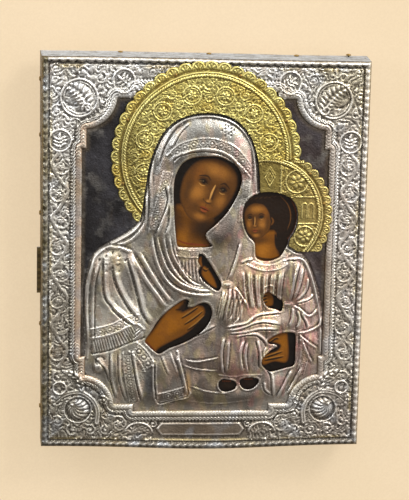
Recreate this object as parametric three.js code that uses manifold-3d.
// A household icon: a painted wooden panel dressed in a pressed silvered sheet, with two gilt
// halos pinned over it. The sheet leaves windows over the painted faces, hands and feet.
// Millimetres, +Z up, the front faces -Y, and the origin is the middle of the base.

import * as THREE from "three";
import { mergeVertices } from "three/addons/utils/BufferGeometryUtils.js";
import Module from "manifold-3d";

const wasm = await Module();
wasm.setup();

// Wooden panel, two planks edge to edge
const PANEL_WIDTH = 217.6;
const PANEL_HEIGHT = 265.6;
const PANEL_THICKNESS = 21;
const PLANK_JOINT_SHARE = 0.07;
const GLUE_LINE = 0.1;
const GROUND_THICKNESS = 1.2;

// Sheet metal and the gaps that let the pieces go together
const SHEET = 0.5;
const FIT = 0.2;
const OVERRUN = 5;

// Dovetailed back spline, driven in from the left
const SPLINE_LEFT_HEIGHT = 28;
const SPLINE_RIGHT_HEIGHT = 22;
const SPLINE_DEPTH = 7;
const SPLINE_UNDERCUT = 2;
const SPLINE_PROUD = 3;
const SPLINE_LEVEL_SHARE = 0.4533;
const SPLINE_SHORT = 6;

// Pressed border of the cover
const FLANGE_SHORT = 2.9;
const BEAD_WIDTH = 4.6;
const BEAD_RISE = 2.2;
const BEAD_STEPS = 6;
const FILLET_OFFSET = 5.6;
const FILLET_WIDTH = 1.1;
const FILLET_RISE = 0.6;
const CARTOUCHE_WIDTH = 61;
const CARTOUCHE_HEIGHT = 8;
const CARTOUCHE_POINT = 3.5;
const CARTOUCHE_RISE = 0.8;
const CARTOUCHE_LEVEL = 12.6;

// Chased ornament of the border: a running vine with a boss in each turn, medallions, corner rings
const ORNAMENT_RISE = 1.1;
const ORNAMENT_INSET = 12.6;
const RIDGE_WIDTH = 2.4;
const VINE_SWING = 4.6;
const VINE_PITCH = 18.4;
const VINE_FOOT = 58;
const BOSS_RADIUS = 3.2;
const BOSS_SIDES = 6;
const MEDALLION_RADIUS = 6.4;
const MEDALLION_DROP = 54.5;
const MEDALLION_SIDES = 8;
const CORNER_INSET = 25;
const CORNER_RING_RADIUS = 11.8;
const BUD_RING_RADIUS = 8.2;
const CORNER_RING_SIDES = 9;

// Window of the border, a rectangle with stepped, hollow-cut corners
const SIDE_BAND = 26.7;
const BOTTOM_BAND = 25.4;
const TOP_BAND = 21;
const STEP_ACROSS = 3;
const STEP_UP = 5;
const CORNER_RADIUS = 23.5;
const CORNER_LEDGE = 13;
const CORNER_STEPS = 9;
const MOULDING_WIDTH = 6.6;
const MOULDING_RISE = 2.2;
const LIP_GAP = 0.4;
const ROPE_WIDTH = 2;
const FIELD_TUCK = 2.4;

// Relief of the figures: how far each part swells, and how wide its rounded edge is
const MANTLE_RISE = 2.4;
const MANTLE_RUN = 5;
const HOOD_RISE = 2.4;
const HOOD_RUN = 9;
const ARM_RISE = 1.8;
const ARM_RUN = 6;
const CLOTH_RISE = 1.5;
const CLOTH_RUN = 3.5;
const CHILD_RISE = 2;
const CHILD_RUN = 5;
const SKIRT_RISE = 1.7;
const SKIRT_RUN = 4;
const FOLD_RISE = 1.2;
const FOLD_HALF_WIDTH = 3.2;
const FOLD_FADE_SHARE = 0.2;
const GRID_STEP = 4.2;
const SNAP_SHARE = 0.33;
const HOLLOW_STEP = 11.5;
const HOLLOW_SAMPLES = 7;
const HOLLOW_MARGIN = 0.05;
const WINDOW_RIM = 4.5;
const RIM_SHARE = 0.3;
const EDGE_RUN = 5;

// Gilt halos
const HALO_SEAT = 0.4;
const HALO_GAP = 0.7;
const HALO_RADIUS = 61.9;
const HALO_TOP_GAP = 1;
const CHILD_HALO_RADIUS = 44.3;
const CHILD_HALO_CENTRE_SHARES = [0.183, 0.611];
const CHILD_HALO_SHORT = 19;
const SCALLOP_PITCH = 9;
const SCALLOP_RISE = 2;
const SCALLOP_POINTS = 5;
const HALO_RIB_INSET = 6.6;
const HALO_RIB_WIDTH = 2;
const HALO_RIB_RISE = 0.9;
const HALO_RIB_STEPS = 60;
const HALO_SEAM_SHARE = 0.752;

// Brass nails in the flanges and pins in the halos
const NAIL_LENGTH = 12;
const NAIL_RADIUS = 0.7;
const NAIL_HEAD_RADIUS = 1.7;
const NAIL_HEAD_RISE = 0.9;
const HEAD_CROWN_SHARE = 0.7;
const NAIL_SIDES = 8;
const NAIL_PLAY = 0.15;
const NAIL_SETBACK = 3.4;
const PROUD_NAIL_LIFT = 1.1;
const BASE_HEAD_SINK = 0.3;
const BASE_HEAD_RISE = 0.25;
const TOP_NAIL_SHARES = [-0.262, 0.009, 0.279, 0.44];
const SIDE_NAIL_SHARES = [0.09, 0.31, 0.6, 0.8, 0.94];
const BASE_NAIL_SHARES = [-0.4, -0.14, 0.14, 0.4];
const PIN_LENGTH = 11;
const PIN_RADIUS = 0.5;
const PIN_HEAD_RADIUS = 1.2;
const PIN_HEAD_RISE = 0.7;
const HALO_PIN_INSET = 3.3;
const HALO_PIN_TURNS = [0.07, 0.19, 0.31, 0.43, 0.55];
const CHILD_PIN_TURNS = [-0.06, 0.03, 0.12];

// Hanging ring on a staple eye
const EYE_WIRE = 0.8;
const EYE_HOLE = 1.5;
const EYE_SHANK = 12;
const EYE_DROP = 38;
const EYE_STANDOFF = 0.3;
const RING_WIRE = 0.9;
const RING_RADIUS = 11;
const RING_SEAT = 0.3;
const WIRE_SIDES = 8;
const EYE_STEPS = 14;
const RING_STEPS = 28;

// Worked out once from the sizes above. Levels are measured out from the front of the panel.
const WIDTH = PANEL_WIDTH + 2 * (FIT + SHEET);
const HEIGHT = PANEL_HEIGHT + 2 * (FIT + SHEET);
const PANEL_BASE = FIT + SHEET;
const FACE = PANEL_THICKNESS / 2;
const SHEET_LEVEL = GROUND_THICKNESS + FIT;
const FLANGE_LEVEL = FLANGE_SHORT - PANEL_THICKNESS;
const HALO_LEVEL = SHEET_LEVEL + SHEET + Math.max(MOULDING_RISE, BEAD_RISE) + HALO_SEAT;
const WINDOW_HALF_WIDTH = WIDTH / 2 - SIDE_BAND;
const WINDOW_TOP = HEIGHT - TOP_BAND;
const EYE_RADIUS = EYE_HOLE + EYE_WIRE;

// Outlines of the windows in the sheet, as shares of the width and the height
const FACE_WINDOW_SHARES = [
  [0.0, 0.76], [-0.037, 0.757], [-0.066, 0.746], [-0.084, 0.728], [-0.096, 0.7], [-0.098, 0.664],
  [-0.095, 0.614], [-0.091, 0.572], [-0.085, 0.534], [-0.076, 0.527], [-0.04, 0.525], [0.005, 0.525],
  [0.024, 0.53], [0.009, 0.545], [0.005, 0.562], [0.037, 0.588], [0.064, 0.612], [0.087, 0.642],
  [0.103, 0.671], [0.11, 0.697], [0.106, 0.719], [0.09, 0.738], [0.06, 0.753], [0.03, 0.76],
];
const CHILD_WINDOW_SHARES = [
  [0.116, 0.621], [0.124, 0.643], [0.144, 0.658], [0.168, 0.665], [0.197, 0.667], [0.228, 0.664],
  [0.256, 0.655], [0.275, 0.638], [0.284, 0.616], [0.284, 0.592], [0.276, 0.568], [0.262, 0.548],
  [0.256, 0.528], [0.238, 0.504], [0.222, 0.496], [0.2, 0.491], [0.174, 0.493], [0.16, 0.502],
  [0.158, 0.522], [0.155, 0.538], [0.135, 0.555], [0.121, 0.58], [0.116, 0.602],
];
const RIGHT_HAND_SHARES = [
  [-0.179, 0.281], [-0.16, 0.307], [-0.142, 0.332], [-0.119, 0.354], [-0.087, 0.375], [-0.058, 0.39],
  [-0.044, 0.385], [-0.048, 0.37], [-0.03, 0.37], [-0.01, 0.379], [0.01, 0.38], [0.025, 0.368],
  [0.028, 0.346], [0.015, 0.322], [-0.009, 0.3], [-0.037, 0.284], [-0.07, 0.271], [-0.103, 0.261],
  [-0.133, 0.247], [-0.152, 0.255], [-0.169, 0.269],
];
const LEFT_HAND_SHARES = [
  [0.205, 0.282], [0.226, 0.295], [0.252, 0.301], [0.286, 0.301], [0.293, 0.29], [0.293, 0.25],
  [0.291, 0.217], [0.264, 0.208], [0.23, 0.2], [0.21, 0.2], [0.192, 0.213], [0.187, 0.228],
  [0.198, 0.242], [0.219, 0.256], [0.237, 0.264], [0.226, 0.27], [0.212, 0.272],
];
const BLESSING_HAND_SHARES = [
  [-0.015, 0.509], [0.0, 0.504], [0.019, 0.483], [0.038, 0.457], [0.054, 0.434], [0.052, 0.417],
  [0.04, 0.413], [0.018, 0.425], [-0.005, 0.442], [-0.016, 0.461], [-0.012, 0.476], [-0.018, 0.491],
];
const SCROLL_HAND_SHARES = [
  [0.186, 0.4], [0.196, 0.411], [0.212, 0.407], [0.234, 0.394], [0.247, 0.386], [0.249, 0.371],
  [0.244, 0.359], [0.227, 0.365], [0.203, 0.37], [0.189, 0.383],
];
const RIGHT_FOOT_SHARES = [
  [0.054, 0.168], [0.064, 0.178], [0.08, 0.178], [0.102, 0.173], [0.111, 0.163], [0.105, 0.152],
  [0.084, 0.146], [0.066, 0.147], [0.056, 0.156],
];
const LEFT_FOOT_SHARES = [
  [0.121, 0.176], [0.136, 0.183], [0.162, 0.183], [0.18, 0.176], [0.174, 0.162], [0.156, 0.152],
  [0.136, 0.152], [0.123, 0.162],
];
const WINDOWS = [
  FACE_WINDOW_SHARES,
  CHILD_WINDOW_SHARES,
  RIGHT_HAND_SHARES,
  LEFT_HAND_SHARES,
  BLESSING_HAND_SHARES,
  SCROLL_HAND_SHARES,
  RIGHT_FOOT_SHARES,
  LEFT_FOOT_SHARES,
];

// Outline of the mother's hood and mantle
const MANTLE_SHARES = [
  [-0.356, 0.187], [-0.363, 0.262], [-0.367, 0.356], [-0.361, 0.442], [-0.345, 0.498],
  [-0.31, 0.527], [-0.256, 0.553], [-0.215, 0.577], [-0.194, 0.607], [-0.183, 0.674],
  [-0.167, 0.749], [-0.132, 0.816], [-0.078, 0.854], [0.0, 0.867], [0.073, 0.856],
  [0.123, 0.82], [0.151, 0.768], [0.162, 0.712], [0.167, 0.659], [0.192, 0.599],
  [0.237, 0.543], [0.283, 0.517], [0.315, 0.498], [0.338, 0.461], [0.361, 0.404],
  [0.374, 0.345], [0.379, 0.262], [0.374, 0.187], [0.274, 0.075], [0.0, 0.056], [-0.228, 0.075],
];

// Parts of the dress that swell out of the sheet, each one a puffed outline
const HOOD_SHARES = [
  [-0.187, 0.629], [-0.174, 0.712], [-0.155, 0.772], [-0.123, 0.822], [-0.068, 0.854],
  [0.0, 0.865], [0.068, 0.856], [0.121, 0.822], [0.151, 0.772], [0.162, 0.712],
  [0.164, 0.663], [0.137, 0.599], [0.1, 0.547], [0.037, 0.513], [-0.037, 0.502],
  [-0.1, 0.502], [-0.151, 0.532], [-0.178, 0.581],
];
const ARM_SHARES = [
  [-0.356, 0.3], [-0.365, 0.375], [-0.358, 0.449], [-0.338, 0.494], [-0.301, 0.517],
  [-0.247, 0.524], [-0.201, 0.494], [-0.155, 0.449], [-0.11, 0.397], [-0.084, 0.378],
  [-0.12, 0.35], [-0.151, 0.318], [-0.174, 0.292], [-0.228, 0.285], [-0.283, 0.27],
  [-0.347, 0.251],
];
const CLOTH_SHARES = [
  [-0.141, 0.232], [-0.1, 0.251], [-0.066, 0.24], [-0.055, 0.187], [-0.041, 0.139],
  [-0.057, 0.127], [-0.1, 0.12], [-0.137, 0.112], [-0.146, 0.135], [-0.141, 0.187],
];
const CHILD_SHARES = [
  [0.055, 0.419], [0.078, 0.438], [0.096, 0.472], [0.123, 0.492], [0.16, 0.498],
  [0.201, 0.489], [0.242, 0.5], [0.283, 0.506], [0.311, 0.487], [0.32, 0.442],
  [0.301, 0.393], [0.265, 0.378], [0.256, 0.363], [0.256, 0.315], [0.183, 0.3],
  [0.091, 0.3], [0.064, 0.315], [0.046, 0.337], [0.041, 0.404],
];
const SKIRT_SHARES = [
  [0.055, 0.315], [0.091, 0.326], [0.146, 0.341], [0.205, 0.337], [0.247, 0.322],
  [0.247, 0.3], [0.21, 0.277], [0.201, 0.247], [0.187, 0.213], [0.183, 0.187],
  [0.119, 0.184], [0.055, 0.187], [0.05, 0.232], [0.05, 0.281],
];
const SWELLS = [
  { rise: MANTLE_RISE, run: MANTLE_RUN, shares: MANTLE_SHARES },
  { rise: HOOD_RISE, run: HOOD_RUN, shares: HOOD_SHARES },
  { rise: ARM_RISE, run: ARM_RUN, shares: ARM_SHARES },
  { rise: CLOTH_RISE, run: CLOTH_RUN, shares: CLOTH_SHARES },
  { rise: CHILD_RISE, run: CHILD_RUN, shares: CHILD_SHARES },
  { rise: SKIRT_RISE, run: SKIRT_RUN, shares: SKIRT_SHARES },
];

// Crests of the main folds, from one end to the other
const FOLD_SHARES = [
  [[-0.3, 0.5], [-0.305, 0.43], [-0.288, 0.375], [-0.255, 0.34]],
  [[-0.275, 0.5], [-0.264, 0.431], [-0.228, 0.375], [-0.19, 0.33]],
  [[-0.237, 0.509], [-0.21, 0.449], [-0.187, 0.393], [-0.152, 0.345]],
  [[-0.21, 0.517], [-0.164, 0.449], [-0.119, 0.375], [-0.105, 0.36]],
  [[-0.347, 0.48], [-0.352, 0.41], [-0.347, 0.33], [-0.343, 0.27]],
  [[-0.155, 0.6], [-0.16, 0.5], [-0.135, 0.442], [-0.073, 0.406], [0.0, 0.394], [0.037, 0.397]],
  [[-0.128, 0.56], [-0.132, 0.494], [-0.11, 0.457], [-0.055, 0.423], [0.018, 0.408]],
  [[-0.105, 0.53], [-0.1, 0.487], [-0.055, 0.438], [0.009, 0.416]],
  [[-0.176, 0.72], [-0.178, 0.66], [-0.182, 0.6], [-0.21, 0.56]],
  [[-0.283, 0.245], [-0.283, 0.19], [-0.27, 0.13]],
  [[-0.215, 0.24], [-0.205, 0.18], [-0.19, 0.12]],
  [[-0.05, 0.232], [0.0, 0.232], [0.045, 0.243]],
  [[0.132, 0.476], [0.137, 0.404], [0.142, 0.356]],
  [[0.178, 0.476], [0.176, 0.43], [0.174, 0.36]],
  [[0.228, 0.487], [0.233, 0.45], [0.235, 0.41]],
  [[0.066, 0.41], [0.068, 0.37], [0.078, 0.335]],
  [[0.1, 0.42], [0.114, 0.38], [0.11, 0.345]],
  [[0.064, 0.33], [0.137, 0.352], [0.201, 0.36], [0.245, 0.356]],
  [[0.082, 0.318], [0.155, 0.33], [0.24, 0.326]],
  [[0.068, 0.292], [0.064, 0.243], [0.066, 0.195]],
  [[0.128, 0.285], [0.119, 0.232], [0.119, 0.19]],
  [[0.174, 0.285], [0.178, 0.24], [0.185, 0.2]],
  [[0.288, 0.487], [0.276, 0.43], [0.27, 0.39]],
  [[0.32, 0.479], [0.306, 0.43], [0.279, 0.388]],
  [[0.352, 0.41], [0.338, 0.36], [0.306, 0.31]],
  [[0.365, 0.26], [0.333, 0.28], [0.306, 0.3]],
  [[0.311, 0.28], [0.301, 0.225], [0.283, 0.15]],
  [[-0.12, 0.73], [-0.085, 0.762], [-0.01, 0.776], [0.07, 0.758], [0.11, 0.725]],
  [[-0.122, 0.7], [-0.115, 0.645], [-0.155, 0.55]],
  [[-0.076, 0.245], [-0.062, 0.2], [-0.042, 0.135]],
  [[0.26, 0.499], [0.305, 0.497], [0.345, 0.43], [0.362, 0.37]],
  [[0.202, 0.21], [0.225, 0.17], [0.229, 0.125]],
];

// Turns a closed or open line of shares into points of the sheet, rounded between them
function points(shares, closed, each = 3) {
  const places = shares.map(([x, z]) => new THREE.Vector3(x * WIDTH, z * HEIGHT, 0));
  const curve = new THREE.CatmullRomCurve3(places, closed, "centripetal");
  const made = curve.getPoints(places.length * each);
  if (closed) made.pop();
  return made.map((p) => new THREE.Vector2(p.x, p.y));
}

// Shifts a closed outline outwards by a distance, with mitred corners
function offset(outline, distance) {
  const outward = THREE.ShapeUtils.isClockWise(outline) ? -1 : 1;
  return outline.map((p, i) => {
    const before = outline[(i + outline.length - 1) % outline.length];
    const after = outline[(i + 1) % outline.length];
    const a = p.clone().sub(before).normalize();
    const b = after.clone().sub(p).normalize();
    const normal = new THREE.Vector2(a.y + b.y, -a.x - b.x).multiplyScalar(outward);
    const mitre = 1 + a.dot(b);
    return p.clone().addScaledVector(normal, distance / mitre);
  });
}

// Makes a closed geometry into a solid that can be joined and cut
function solid(geometry) {
  const bare = geometry.clone();
  bare.deleteAttribute("normal");
  bare.deleteAttribute("uv");
  const merged = mergeVertices(bare, 1e-4);
  return new wasm.Manifold(
    new wasm.Mesh({
      numProp: 3,
      vertProperties: new Float32Array(merged.attributes.position.array),
      triVerts: new Uint32Array(merged.index.array),
    }),
  );
}

// Makes a cut solid back into a geometry
function geometryOf(made) {
  const mesh = made.getMesh();
  const geometry = new THREE.BufferGeometry();
  geometry.setAttribute("position", new THREE.BufferAttribute(mesh.vertProperties, 3));
  geometry.setIndex(new THREE.BufferAttribute(mesh.triVerts, 1));
  const flat = geometry.toNonIndexed();
  flat.computeVertexNormals();
  return flat;
}

// Puts the points of a closed outline in clockwise or anticlockwise order
function wound(outline, clockwise) {
  return THREE.ShapeUtils.isClockWise(outline) === clockwise ? outline : [...outline].reverse();
}

// A plate with the given outline and holes, lying from one level in front of the panel to another
function plate(outline, low, high, holes = []) {
  const shape = new THREE.Shape(wound(outline, false));
  shape.holes = holes.map((hole) => new THREE.Path(wound(hole, true)));
  const geometry = new THREE.ExtrudeGeometry(shape, { depth: high - low, bevelEnabled: false });
  geometry.rotateX(Math.PI / 2);
  geometry.translate(0, -FACE - low, 0);
  return geometry;
}

// A rectangle about the middle line of the icon
function rectangle(halfWidth, bottom, top) {
  return [
    new THREE.Vector2(-halfWidth, bottom),
    new THREE.Vector2(halfWidth, bottom),
    new THREE.Vector2(halfWidth, top),
    new THREE.Vector2(-halfWidth, top),
  ];
}

// Carries a closed section round a closed outline. A section point is how far it lies outside
// the outline and its level in front of the panel.
function frameSweep(outline, section) {
  const rings = section.map(([out, level]) =>
    offset(outline, out).map((p) => [p.x, -FACE - level, p.y]),
  );
  const around = outline.length;
  const positions = rings.flat(2);
  const index = [];
  rings.forEach((ring, s) => {
    const next = (s + 1) % rings.length;
    ring.forEach((_, i) => {
      const j = (i + 1) % around;
      const [a, b, c, d] = [s * around + i, s * around + j, next * around + j, next * around + i];
      index.push(a, c, b, a, d, c);
    });
  });
  const geometry = new THREE.BufferGeometry();
  geometry.setAttribute("position", new THREE.Float32BufferAttribute(positions, 3));
  geometry.setIndex(index);
  const made = solid(geometry);
  if (made.volume() > 0) return made;
  geometry.setIndex([...index].reverse());
  return solid(geometry);
}

// Inner edge of the border, with a step, a ledge and a hollow arc at each corner
function windowOutline() {
  const middle = (BOTTOM_BAND + WINDOW_TOP) / 2;
  const halfHeight = (WINDOW_TOP - BOTTOM_BAND) / 2;
  const inX = WINDOW_HALF_WIDTH - STEP_ACROSS;
  const inZ = halfHeight - STEP_UP;
  const centreX = WINDOW_HALF_WIDTH;
  const centreZ = halfHeight - STEP_UP / 2;
  const startX = centreX - Math.sqrt(CORNER_RADIUS ** 2 - (centreZ - inZ) ** 2);
  const startZ = centreZ - Math.sqrt(CORNER_RADIUS ** 2 - (centreX - inX) ** 2);
  const from = Math.atan2(inZ - centreZ, startX - centreX);
  const to = Math.atan2(startZ - centreZ, inX - centreX);
  const quarter = [
    [startX - CORNER_LEDGE, halfHeight],
    [startX - CORNER_LEDGE, inZ],
  ];
  for (let i = 0; i <= CORNER_STEPS; i++) {
    const turn = from + ((to - from) * i) / CORNER_STEPS;
    quarter.push([centreX + CORNER_RADIUS * Math.cos(turn), centreZ + CORNER_RADIUS * Math.sin(turn)]);
  }
  quarter.push([inX, startZ - CORNER_LEDGE], [WINDOW_HALF_WIDTH, startZ - CORNER_LEDGE]);
  const back = [...quarter].reverse();
  const turns = [
    quarter,
    back.map(([x, z]) => [x, -z]),
    quarter.map(([x, z]) => [-x, -z]),
    back.map(([x, z]) => [-x, z]),
  ];
  return turns.flat().map(([x, z]) => new THREE.Vector2(x, middle + z));
}

// Smooth step from 0 to 1
function ease(t) {
  const s = Math.min(1, Math.max(0, t));
  return s * s * (3 - 2 * s);
}

// Distance from a point to a line of points, how far along the line it lies, and where
function toLine(line, x, z, closed) {
  let nearest = Infinity;
  let along = 0;
  let at = [x, z];
  const last = closed ? line.length : line.length - 1;
  for (let i = 0; i < last; i++) {
    const a = line[i];
    const b = line[(i + 1) % line.length];
    const dx = b.x - a.x;
    const dz = b.y - a.y;
    const t = Math.min(1, Math.max(0, ((x - a.x) * dx + (z - a.y) * dz) / (dx * dx + dz * dz)));
    const distance = Math.hypot(x - a.x - t * dx, z - a.y - t * dz);
    if (distance >= nearest) continue;
    nearest = distance;
    along = (i + t) / last;
    at = [a.x + t * dx, a.y + t * dz];
  }
  return { distance: nearest, along, at };
}

// True if a point lies inside a closed outline
function inside(outline, x, z) {
  let within = false;
  outline.forEach((a, i) => {
    const b = outline[(i + 1) % outline.length];
    if (a.y > z !== b.y > z && x < ((b.x - a.x) * (z - a.y)) / (b.y - a.y) + a.x) within = !within;
  });
  return within;
}

const fieldOutline = windowOutline();
const windows = WINDOWS.map((shares) => points(shares, true, 2));
const swells = SWELLS.map((swell) => ({ ...swell, outline: points(swell.shares, true, 2) }));
const folds = FOLD_SHARES.map((shares) => points(shares, false, 4));
const mantle = points(MANTLE_SHARES, true);

// Height of the pressed relief over the flat of the sheet
function reliefAt(x, z) {
  if (!inside(fieldOutline, x, z)) return 0;
  let height = 0;
  for (const swell of swells) {
    if (!inside(swell.outline, x, z)) continue;
    height += swell.rise * ease(toLine(swell.outline, x, z, true).distance / swell.run);
  }
  for (const fold of folds) {
    const { distance, along } = toLine(fold, x, z, false);
    const fade = ease(along / FOLD_FADE_SHARE) * ease((1 - along) / FOLD_FADE_SHARE);
    height += FOLD_RISE * fade * (1 - ease(distance / FOLD_HALF_WIDTH));
  }
  for (const rim of windows) {
    const gone = inside(rim, x, z) ? 0 : ease(toLine(rim, x, z, true).distance / WINDOW_RIM);
    height *= RIM_SHARE + (1 - RIM_SHARE) * gone;
  }
  return height * ease((toLine(fieldOutline, x, z, true).distance - GRID_STEP) / EDGE_RUN);
}

// The crest that a grid point lies close to takes the point, so that the crest stays sharp
function snapped(x, z, step, crests) {
  for (const crest of crests) {
    const near = toLine(crest, x, z, false);
    if (near.distance < SNAP_SHARE * step) return near.at;
  }
  return [x, z];
}

// A block that reaches from behind the sheet to a front that follows a height, over a grid
function blockUnder(step, heightAt, crests = []) {
  const halfWidth = WINDOW_HALF_WIDTH + MOULDING_WIDTH;
  const low = BOTTOM_BAND - MOULDING_WIDTH;
  const tall = WINDOW_TOP + MOULDING_WIDTH - low;
  const columns = Math.ceil((2 * halfWidth) / step);
  const rows = Math.ceil(tall / step);
  const block = new THREE.BoxGeometry(2 * halfWidth, tall, 1, columns, rows, 1);
  const place = block.attributes.position;
  for (let i = 0; i < place.count; i++) {
    const onFront = place.getZ(i) > 0;
    const gridZ = place.getY(i) + low + tall / 2;
    const [x, z] = snapped(place.getX(i), gridZ, step, onFront ? crests : []);
    const level = onFront ? heightAt(x, z) : -OVERRUN;
    place.setXYZ(i, x, -FACE - SHEET_LEVEL - level, z);
  }
  return solid(block);
}

// The pressed sheet with the figures: its front is the relief, its back a coarser hollow
function figureSheet() {
  const front = blockUnder(GRID_STEP, (x, z) => SHEET + reliefAt(x, z), folds);
  const around = Array.from({ length: HOLLOW_SAMPLES }, (_, i) => {
    return (HOLLOW_STEP + GRID_STEP) * ((2 * i) / (HOLLOW_SAMPLES - 1) - 1);
  });
  const lowest = (x, z) => {
    return Math.min(...around.flatMap((dx) => around.map((dz) => reliefAt(x + dx, z + dz))));
  };
  const hollow = blockUnder(HOLLOW_STEP, (x, z) => lowest(x, z) - HOLLOW_MARGIN);
  const outline = offset(fieldOutline, FIELD_TUCK);
  const cut = solid(plate(outline, SHEET_LEVEL, SHEET_LEVEL + 3 * OVERRUN, windows));
  return front.subtract(hollow).intersect(cut);
}

// Round-topped section of a pressed bead that starts at an inset from the outline. A depth
// carries it on below the sheet, for the hollow behind the bead.
function beadSection(inset, width, rise, depth) {
  const arch = Array.from({ length: BEAD_STEPS + 1 }, (_, i) => {
    const turn = (Math.PI * i) / BEAD_STEPS;
    return [-inset - (width / 2) * (1 - Math.cos(turn)), SHEET_LEVEL + rise * Math.sin(turn)];
  });
  const [first, last] = [arch[0], arch[BEAD_STEPS]];
  return depth > 0 ? [...arch, [last[0], last[1] - depth], [first[0], first[1] - depth]] : arch;
}

// Section of the moulding round the window, hollow behind so that the field tucks under it
function mouldingSection() {
  const crest = MOULDING_WIDTH - ROPE_WIDTH;
  const low = SHEET_LEVEL + SHEET + LIP_GAP;
  const top = SHEET_LEVEL + MOULDING_RISE;
  return [
    [0, low],
    [0, low + SHEET],
    [SHEET, low + 2 * SHEET],
    [crest, top],
    [crest + ROPE_WIDTH / 2, top + SHEET],
    [crest + ROPE_WIDTH, top],
    [MOULDING_WIDTH + SHEET, SHEET_LEVEL + SHEET],
    [MOULDING_WIDTH + SHEET, SHEET_LEVEL],
    [MOULDING_WIDTH, SHEET_LEVEL],
    [crest + ROPE_WIDTH - SHEET, top - SHEET],
    [crest, top - SHEET],
    [SHEET, low],
  ];
}

// The border: flat band, side flanges, outer bead, fillet and window moulding in one pressing
function borderSheet() {
  const outer = rectangle(WIDTH / 2, 0, HEIGHT);
  const within = rectangle(WIDTH / 2 - SHEET, SHEET, HEIGHT - SHEET);
  const band = solid(
    plate(outer, SHEET_LEVEL, SHEET_LEVEL + SHEET, [offset(fieldOutline, MOULDING_WIDTH)]),
  );
  const flange = solid(plate(outer, FLANGE_LEVEL, SHEET_LEVEL + SHEET, [within]));
  const bead = frameSweep(outer, beadSection(0, BEAD_WIDTH, BEAD_RISE + SHEET, 0));
  const hollow = frameSweep(outer, beadSection(SHEET, BEAD_WIDTH - 2 * SHEET, BEAD_RISE, FIT));
  const fillet = frameSweep(outer, beadSection(FILLET_OFFSET, FILLET_WIDTH, FILLET_RISE + SHEET, 0));
  const moulding = frameSweep(fieldOutline, mouldingSection());
  const pressed = band.add(flange).add(bead).subtract(hollow).add(fillet).add(moulding);
  const titled = pressed.add(solid(plate(cartouche(), SHEET_LEVEL, SHEET_LEVEL + SHEET + CARTOUCHE_RISE)));
  return ornament().reduce((made, piece) => made.add(piece), titled);
}

// Foot and crest of the chased ornament. The foot lies inside the sheet.
const ORNAMENT_FOOT = SHEET_LEVEL + SHEET / 2;
const ORNAMENT_CREST = SHEET_LEVEL + SHEET + ORNAMENT_RISE;

// A ridge of three-cornered section along an open line
function ridge(line) {
  const rings = line.map((p, i) => {
    const run = line[Math.min(i + 1, line.length - 1)].clone().sub(line[Math.max(i - 1, 0)]).normalize();
    const [dx, dz] = [(-run.y * RIDGE_WIDTH) / 2, (run.x * RIDGE_WIDTH) / 2];
    return [
      [p.x - dx, -FACE - ORNAMENT_FOOT, p.y - dz],
      [p.x, -FACE - ORNAMENT_CREST, p.y],
      [p.x + dx, -FACE - ORNAMENT_FOOT, p.y + dz],
    ];
  });
  const last = 3 * (rings.length - 1);
  const index = [0, 1, 2, last, last + 2, last + 1];
  for (let i = 0; i + 1 < rings.length; i++) {
    for (let s = 0; s < 3; s++) {
      const [a, b] = [3 * i + s, 3 * i + ((s + 1) % 3)];
      index.push(a, a + 3, b + 3, a, b + 3, b);
    }
  }
  const geometry = new THREE.BufferGeometry();
  geometry.setAttribute("position", new THREE.Float32BufferAttribute(rings.flat(2), 3));
  geometry.setIndex(index);
  const made = solid(geometry);
  if (made.volume() > 0) return made;
  geometry.setIndex([...index].reverse());
  return solid(geometry);
}

// A raised boss with flat facets, narrower at its top
function boss(x, z, radius, crown, sides) {
  const rise = ORNAMENT_CREST - ORNAMENT_FOOT;
  const made = new THREE.CylinderGeometry(crown, radius, rise, sides);
  made.rotateX(Math.PI);
  return solid(made.translate(x, -FACE - ORNAMENT_FOOT - rise / 2, z));
}

// A raised ring with a boss in its middle
function bossedRing(x, z, radius) {
  const around = Array.from({ length: CORNER_RING_SIDES }, (_, i) => {
    const turn = (2 * Math.PI * i) / CORNER_RING_SIDES;
    return new THREE.Vector2(x + radius * Math.cos(turn), z + radius * Math.sin(turn));
  });
  const section = [
    [-RIDGE_WIDTH / 2, ORNAMENT_FOOT],
    [0, ORNAMENT_CREST],
    [RIDGE_WIDTH / 2, ORNAMENT_FOOT],
  ];
  return [frameSweep(around, section), boss(x, z, BOSS_RADIUS, 0, BOSS_SIDES)];
}

// The vine of one side, which swings from one side of its bosses to the other, and those bosses
function vine(side) {
  const x = side * (WIDTH / 2 - ORNAMENT_INSET);
  const top = HEIGHT - MEDALLION_DROP;
  const turns = Math.floor((top - VINE_FOOT) / VINE_PITCH);
  const line = [new THREE.Vector2(x, top - VINE_PITCH / 2)];
  const made = [];
  for (let k = 0; k < turns; k++) {
    const hand = k % 2 ? side : -side;
    const z = top - VINE_PITCH * (k + 1);
    [1, -1].forEach((up) => line.push(new THREE.Vector2(x - hand * VINE_SWING, z + (up * VINE_PITCH) / 5)));
    line.push(new THREE.Vector2(x, z - VINE_PITCH / 2));
    made.push(boss(x + (hand * BOSS_RADIUS) / 4, z, BOSS_RADIUS, 0, BOSS_SIDES));
  }
  return [ridge(line), ...made];
}

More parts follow.
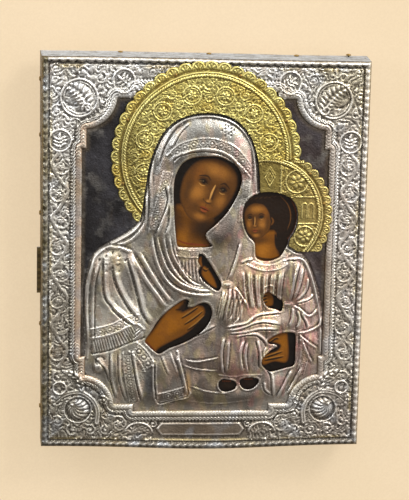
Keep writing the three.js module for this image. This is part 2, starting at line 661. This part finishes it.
// All the chased ornament of the border
function ornament() {
  const corner = WIDTH / 2 - CORNER_INSET;
  return [-1, 1].flatMap((side) => [
    ...vine(side),
    boss(
      side * (WIDTH / 2 - ORNAMENT_INSET),
      HEIGHT - MEDALLION_DROP,
      MEDALLION_RADIUS,
      MEDALLION_RADIUS / 2,
      MEDALLION_SIDES,
    ),
    boss(
      side * (WIDTH / 2 - MEDALLION_DROP),
      HEIGHT - ORNAMENT_INSET,
      MEDALLION_RADIUS,
      MEDALLION_RADIUS / 2,
      MEDALLION_SIDES,
    ),
    ...bossedRing(side * corner, HEIGHT - CORNER_INSET, CORNER_RING_RADIUS),
    ...bossedRing(side * corner, CORNER_INSET, BUD_RING_RADIUS),
  ]);
}

// Blank title panel with pointed ends, on the lower band of the border
function cartouche() {
  const half = CARTOUCHE_WIDTH / 2;
  const [low, high] = [CARTOUCHE_LEVEL - CARTOUCHE_HEIGHT / 2, CARTOUCHE_LEVEL + CARTOUCHE_HEIGHT / 2];
  return [
    new THREE.Vector2(-half, CARTOUCHE_LEVEL),
    new THREE.Vector2(CARTOUCHE_POINT - half, low),
    new THREE.Vector2(half - CARTOUCHE_POINT, low),
    new THREE.Vector2(half, CARTOUCHE_LEVEL),
    new THREE.Vector2(half - CARTOUCHE_POINT, high),
    new THREE.Vector2(CARTOUCHE_POINT - half, high),
  ];
}

// Scalloped disc of a halo
function scallopedDisc(centre, radius) {
  const lobes = Math.round((2 * Math.PI * radius) / SCALLOP_PITCH);
  const count = lobes * SCALLOP_POINTS;
  return Array.from({ length: count }, (_, i) => {
    const phase = (i % SCALLOP_POINTS) / SCALLOP_POINTS;
    const reach = radius + SCALLOP_RISE * Math.sin(Math.PI * phase);
    const turn = (2 * Math.PI * i) / count;
    return new THREE.Vector2(centre.x + reach * Math.cos(turn), centre.y + reach * Math.sin(turn));
  });
}

// Disc and raised rib of one halo, before it is cut round the figures
function haloBlank(centre, radius) {
  const disc = solid(plate(scallopedDisc(centre, radius), HALO_LEVEL, HALO_LEVEL + SHEET));
  const ribRadius = radius - HALO_RIB_INSET;
  const half = HALO_RIB_WIDTH / 2;
  const ring = Array.from({ length: HALO_RIB_STEPS }, (_, i) => {
    const turn = (2 * Math.PI * i) / HALO_RIB_STEPS;
    return new THREE.Vector2(centre.x + ribRadius * Math.cos(turn), centre.y + ribRadius * Math.sin(turn));
  });
  const rib = frameSweep(ring, [
    [-half, HALO_LEVEL],
    [-half, HALO_LEVEL + SHEET],
    [0, HALO_LEVEL + SHEET + HALO_RIB_RISE],
    [half, HALO_LEVEL + SHEET],
    [half, HALO_LEVEL],
  ]);
  return disc.add(rib);
}

const haloCentre = new THREE.Vector2(0, HEIGHT - HALO_TOP_GAP - SCALLOP_RISE - HALO_RADIUS);
const childHaloCentre = new THREE.Vector2(
  CHILD_HALO_CENTRE_SHARES[0] * WIDTH,
  CHILD_HALO_CENTRE_SHARES[1] * HEIGHT,
);

// Both halos, cut clear of the mantle, of the child's window and of each other
function halos() {
  const front = HALO_LEVEL + OVERRUN;
  const figure = solid(plate(offset(mantle, HALO_GAP), 0, front));
  const head = solid(plate(offset(points(CHILD_WINDOW_SHARES, true), HALO_GAP), 0, front));
  const seam = HALO_SEAM_SHARE * HEIGHT;
  const right = (low, high) => [
    new THREE.Vector2(0, low),
    new THREE.Vector2(WIDTH, low),
    new THREE.Vector2(WIDTH, high),
    new THREE.Vector2(0, high),
  ];
  const above = solid(plate(right(seam, HEIGHT + OVERRUN), 0, front));
  const below = solid(plate(right(-OVERRUN, seam + GLUE_LINE), 0, front));
  const childOutline = scallopedDisc(childHaloCentre, CHILD_HALO_RADIUS);
  const childDisc = solid(plate(offset(childOutline, GLUE_LINE), 0, front));
  const foot = childHaloCentre.y - CHILD_HALO_RADIUS + CHILD_HALO_SHORT;
  const skirt = solid(plate(right(-OVERRUN, foot), 0, front));
  const mother = haloBlank(haloCentre, HALO_RADIUS).subtract(figure).subtract(below);
  const child = haloBlank(childHaloCentre, CHILD_HALO_RADIUS).subtract(figure).subtract(head);
  return {
    mother: largest(mother.subtract(childDisc.subtract(above))),
    child: largest(child.subtract(above).subtract(skirt)),
  };
}

// The biggest piece of a solid that a cut has parted
function largest(made) {
  return made.decompose().sort((a, b) => b.volume() - a.volume())[0];
}

// A nail or pin that stands along +Y, its head's underside at the origin and its point behind
function tack(length, radius, headRadius, headRise) {
  const profile = [
    [0, -length],
    [radius, -length + 3 * radius],
    [radius, 0],
    [headRadius, 0],
    [headRadius * HEAD_CROWN_SHARE, headRise * HEAD_CROWN_SHARE],
    [0, headRise],
  ];
  return new THREE.LatheGeometry(
    profile.map(([r, y]) => new THREE.Vector2(r, y)),
    NAIL_SIDES,
  );
}

// The round hole that a tack's shank needs
function tackHole(length, radius) {
  const reach = length + OVERRUN;
  const hole = new THREE.CylinderGeometry(radius + NAIL_PLAY, radius + NAIL_PLAY, reach, NAIL_SIDES);
  return hole.translate(0, OVERRUN - reach / 2, 0);
}

// The shallow seat that takes the head of a base nail, so that the icon stands flat
function headSeat() {
  const radius = NAIL_HEAD_RADIUS + NAIL_PLAY;
  return new THREE.CylinderGeometry(radius, radius, OVERRUN, NAIL_SIDES).translate(0, OVERRUN / 2, 0);
}

// Where every nail and pin goes: a turn that points its head outwards, and a place
function tackPlaces() {
  const made = [];
  const back = -FACE - FLANGE_LEVEL - NAIL_SETBACK;
  TOP_NAIL_SHARES.forEach((share, i) => {
    const lift = i === TOP_NAIL_SHARES.length - 1 ? PROUD_NAIL_LIFT : 0;
    const at = [share * WIDTH, back, HEIGHT + lift];
    made.push({ name: `top_nail_${i + 1}`, at, turn: [Math.PI / 2, 0, 0] });
  });
  SIDE_NAIL_SHARES.forEach((share, i) => {
    const z = share * HEIGHT;
    made.push({ name: `left_nail_${i + 1}`, at: [-WIDTH / 2, back, z], turn: [0, 0, Math.PI / 2] });
    made.push({ name: `right_nail_${i + 1}`, at: [WIDTH / 2, back, z], turn: [0, 0, -Math.PI / 2] });
  });
  BASE_NAIL_SHARES.forEach((share, i) => {
    const at = [share * WIDTH, back, BASE_HEAD_SINK];
    made.push({ name: `base_nail_${i + 1}`, at, turn: [-Math.PI / 2, 0, 0], flush: true });
  });
  const level = -FACE - HALO_LEVEL - SHEET;
  const ring = (name, turns, centre, radius) =>
    turns.forEach((turn, i) => {
      const x = centre.x + (radius - HALO_PIN_INSET) * Math.cos(2 * Math.PI * turn);
      const z = centre.y + (radius - HALO_PIN_INSET) * Math.sin(2 * Math.PI * turn);
      made.push({ name: `${name}_${i + 1}`, at: [x, level, z], turn: [Math.PI, 0, 0], pin: true });
    });
  ring("halo_pin", HALO_PIN_TURNS, haloCentre, HALO_RADIUS);
  ring("child_halo_pin", CHILD_PIN_TURNS, childHaloCentre, CHILD_HALO_RADIUS);
  return made;
}

// A tapered batten of dovetail section, grown all round by a gap
function splineSolid(gap, overrun) {
  const left = -WIDTH / 2 - SPLINE_PROUD - overrun;
  const right = PANEL_WIDTH / 2 - SPLINE_SHORT + gap;
  const middle = (h) => h / 2 + gap;
  const section = (half) => [
    [FACE + overrun, -half],
    [FACE + overrun, half],
    [FACE - SPLINE_DEPTH - gap, half + SPLINE_UNDERCUT],
    [FACE - SPLINE_DEPTH - gap, -half - SPLINE_UNDERCUT],
  ];
  const ends = [
    [left, section(middle(SPLINE_LEFT_HEIGHT))],
    [right, section(middle(SPLINE_RIGHT_HEIGHT))],
  ];
  const level = PANEL_HEIGHT * SPLINE_LEVEL_SHARE;
  const positions = ends.flatMap(([x, ring]) => ring.flatMap(([y, z]) => [x, y, level + z]));
  const geometry = new THREE.BufferGeometry();
  geometry.setAttribute("position", new THREE.Float32BufferAttribute(positions, 3));
  const sides = [0, 1, 2, 3].flatMap((i) => {
    const j = (i + 1) % 4;
    return [i, j, j + 4, i, j + 4, i + 4];
  });
  geometry.setIndex([0, 2, 1, 0, 3, 2, 4, 5, 6, 4, 6, 7, ...sides]);
  const made = solid(geometry);
  if (made.volume() > 0) return made;
  geometry.setIndex([...geometry.index.array].reverse());
  return solid(geometry);
}

// One plank, from one side to the other, over the whole height of the panel
function plank(left, right) {
  const box = new THREE.BoxGeometry(right - left, PANEL_THICKNESS, PANEL_HEIGHT);
  box.translate((left + right) / 2, 0, PANEL_BASE + PANEL_HEIGHT / 2);
  return solid(box);
}

// The eye of the staple, with its shank going into the panel
function stapleEye() {
  const loop = new THREE.TorusGeometry(EYE_RADIUS, EYE_WIRE, WIRE_SIDES, EYE_STEPS);
  loop.rotateY(Math.PI / 2);
  const length = EYE_SHANK + EYE_STANDOFF + EYE_WIRE;
  const shank = new THREE.CylinderGeometry(EYE_WIRE, EYE_WIRE, length, WIRE_SIDES);
  shank.translate(0, -EYE_RADIUS - length / 2, 0);
  return solid(loop).add(solid(shank));
}

const materials = {
  wood: new THREE.MeshStandardMaterial({ color: 0x6b4a2c, roughness: 0.8, metalness: 0 }),
  ground: new THREE.MeshStandardMaterial({ color: 0x7a4a14, roughness: 0.35, metalness: 0 }),
  silver: new THREE.MeshStandardMaterial({ color: 0xb9b4ad, roughness: 0.3, metalness: 1 }),
  gilt: new THREE.MeshStandardMaterial({ color: 0xc9ad4e, roughness: 0.3, metalness: 1 }),
  brass: new THREE.MeshStandardMaterial({ color: 0x8a7440, roughness: 0.45, metalness: 1 }),
  iron: new THREE.MeshStandardMaterial({ color: 0x4a4540, roughness: 0.6, metalness: 1 }),
};

const icon = new THREE.Group();

// Adds a piece under its name
function addPiece(name, geometry, material) {
  const mesh = new THREE.Mesh(geometry, material);
  mesh.name = name;
  icon.add(mesh);
  return mesh;
}

// Moves a tack, or its hole, to its place
function placed(geometry, tackPlace) {
  const turned = new THREE.Euler(...tackPlace.turn);
  const matrix = new THREE.Matrix4().makeRotationFromEuler(turned).setPosition(...tackPlace.at);
  return geometry.clone().applyMatrix4(matrix);
}

const tacks = tackPlaces();
const bores = tacks.map((t) =>
  solid(placed(t.pin ? tackHole(PIN_LENGTH, PIN_RADIUS) : tackHole(NAIL_LENGTH, NAIL_RADIUS), t)),
);
const seats = tacks.filter((t) => t.flush).map((t) => solid(placed(headSeat(), t)));
const bored = (made) => [...bores, ...seats].reduce((cut, bore) => cut.subtract(bore), made);

const eyeY = FACE + EYE_STANDOFF + EYE_RADIUS + EYE_WIRE;
const eyeZ = HEIGHT - EYE_DROP;
const eyeBore = new THREE.CylinderGeometry(
  EYE_WIRE + NAIL_PLAY,
  EYE_WIRE + NAIL_PLAY,
  2 * (EYE_SHANK + NAIL_PLAY),
  WIRE_SIDES,
);
eyeBore.translate(0, FACE, eyeZ);

// Panel
const joint = PLANK_JOINT_SHARE * PANEL_WIDTH;
const groove = splineSolid(FIT, OVERRUN);
const planks = {
  left_plank: plank(-PANEL_WIDTH / 2, joint - GLUE_LINE / 2),
  right_plank: plank(joint + GLUE_LINE / 2, PANEL_WIDTH / 2),
};
for (const [name, made] of Object.entries(planks)) {
  addPiece(name, geometryOf(bored(made).subtract(groove).subtract(solid(eyeBore))), materials.wood);
}
const flush = solid(
  new THREE.BoxGeometry(2 * WIDTH, OVERRUN * 2, HEIGHT).translate(0, FACE + OVERRUN, HEIGHT / 2),
);
const ends = solid(
  new THREE.BoxGeometry(WIDTH, PANEL_THICKNESS * 2, HEIGHT).translate(-WIDTH - SPLINE_PROUD, 0, HEIGHT / 2),
);
addPiece("back_spline", geometryOf(splineSolid(0, OVERRUN).subtract(flush).subtract(ends)), materials.wood);
const ground = plate(
  rectangle(PANEL_WIDTH / 2, PANEL_BASE, PANEL_BASE + PANEL_HEIGHT),
  0,
  GROUND_THICKNESS,
);
addPiece("painted_ground", geometryOf(bored(solid(ground))), materials.ground);

// Metal cover
addPiece("border_cover", geometryOf(bored(borderSheet()).subtract(groove)), materials.silver);
addPiece("figure_cover", geometryOf(bored(figureSheet())), materials.silver);
const { mother, child } = halos();
addPiece("mother_halo", geometryOf(bored(mother)), materials.gilt);
addPiece("child_halo", geometryOf(bored(child)), materials.gilt);

// Nails and pins
for (const t of tacks) {
  const rise = t.flush ? BASE_HEAD_RISE : NAIL_HEAD_RISE;
  const made = t.pin
    ? tack(PIN_LENGTH, PIN_RADIUS, PIN_HEAD_RADIUS, PIN_HEAD_RISE)
    : tack(NAIL_LENGTH, NAIL_RADIUS, NAIL_HEAD_RADIUS, rise);
  addPiece(t.name, placed(made, t), materials.brass);
}

// Hanger
const eye = addPiece("staple_eye", geometryOf(stapleEye()), materials.iron);
eye.position.set(0, eyeY, eyeZ);
const ring = addPiece(
  "hanging_ring",
  new THREE.TorusGeometry(RING_RADIUS, RING_WIRE, WIRE_SIDES, RING_STEPS),
  materials.iron,
);
ring.rotation.x = Math.PI / 2;
ring.position.set(0, eyeY, eyeZ - EYE_HOLE + RING_WIRE + RING_SEAT - RING_RADIUS);

export default icon;
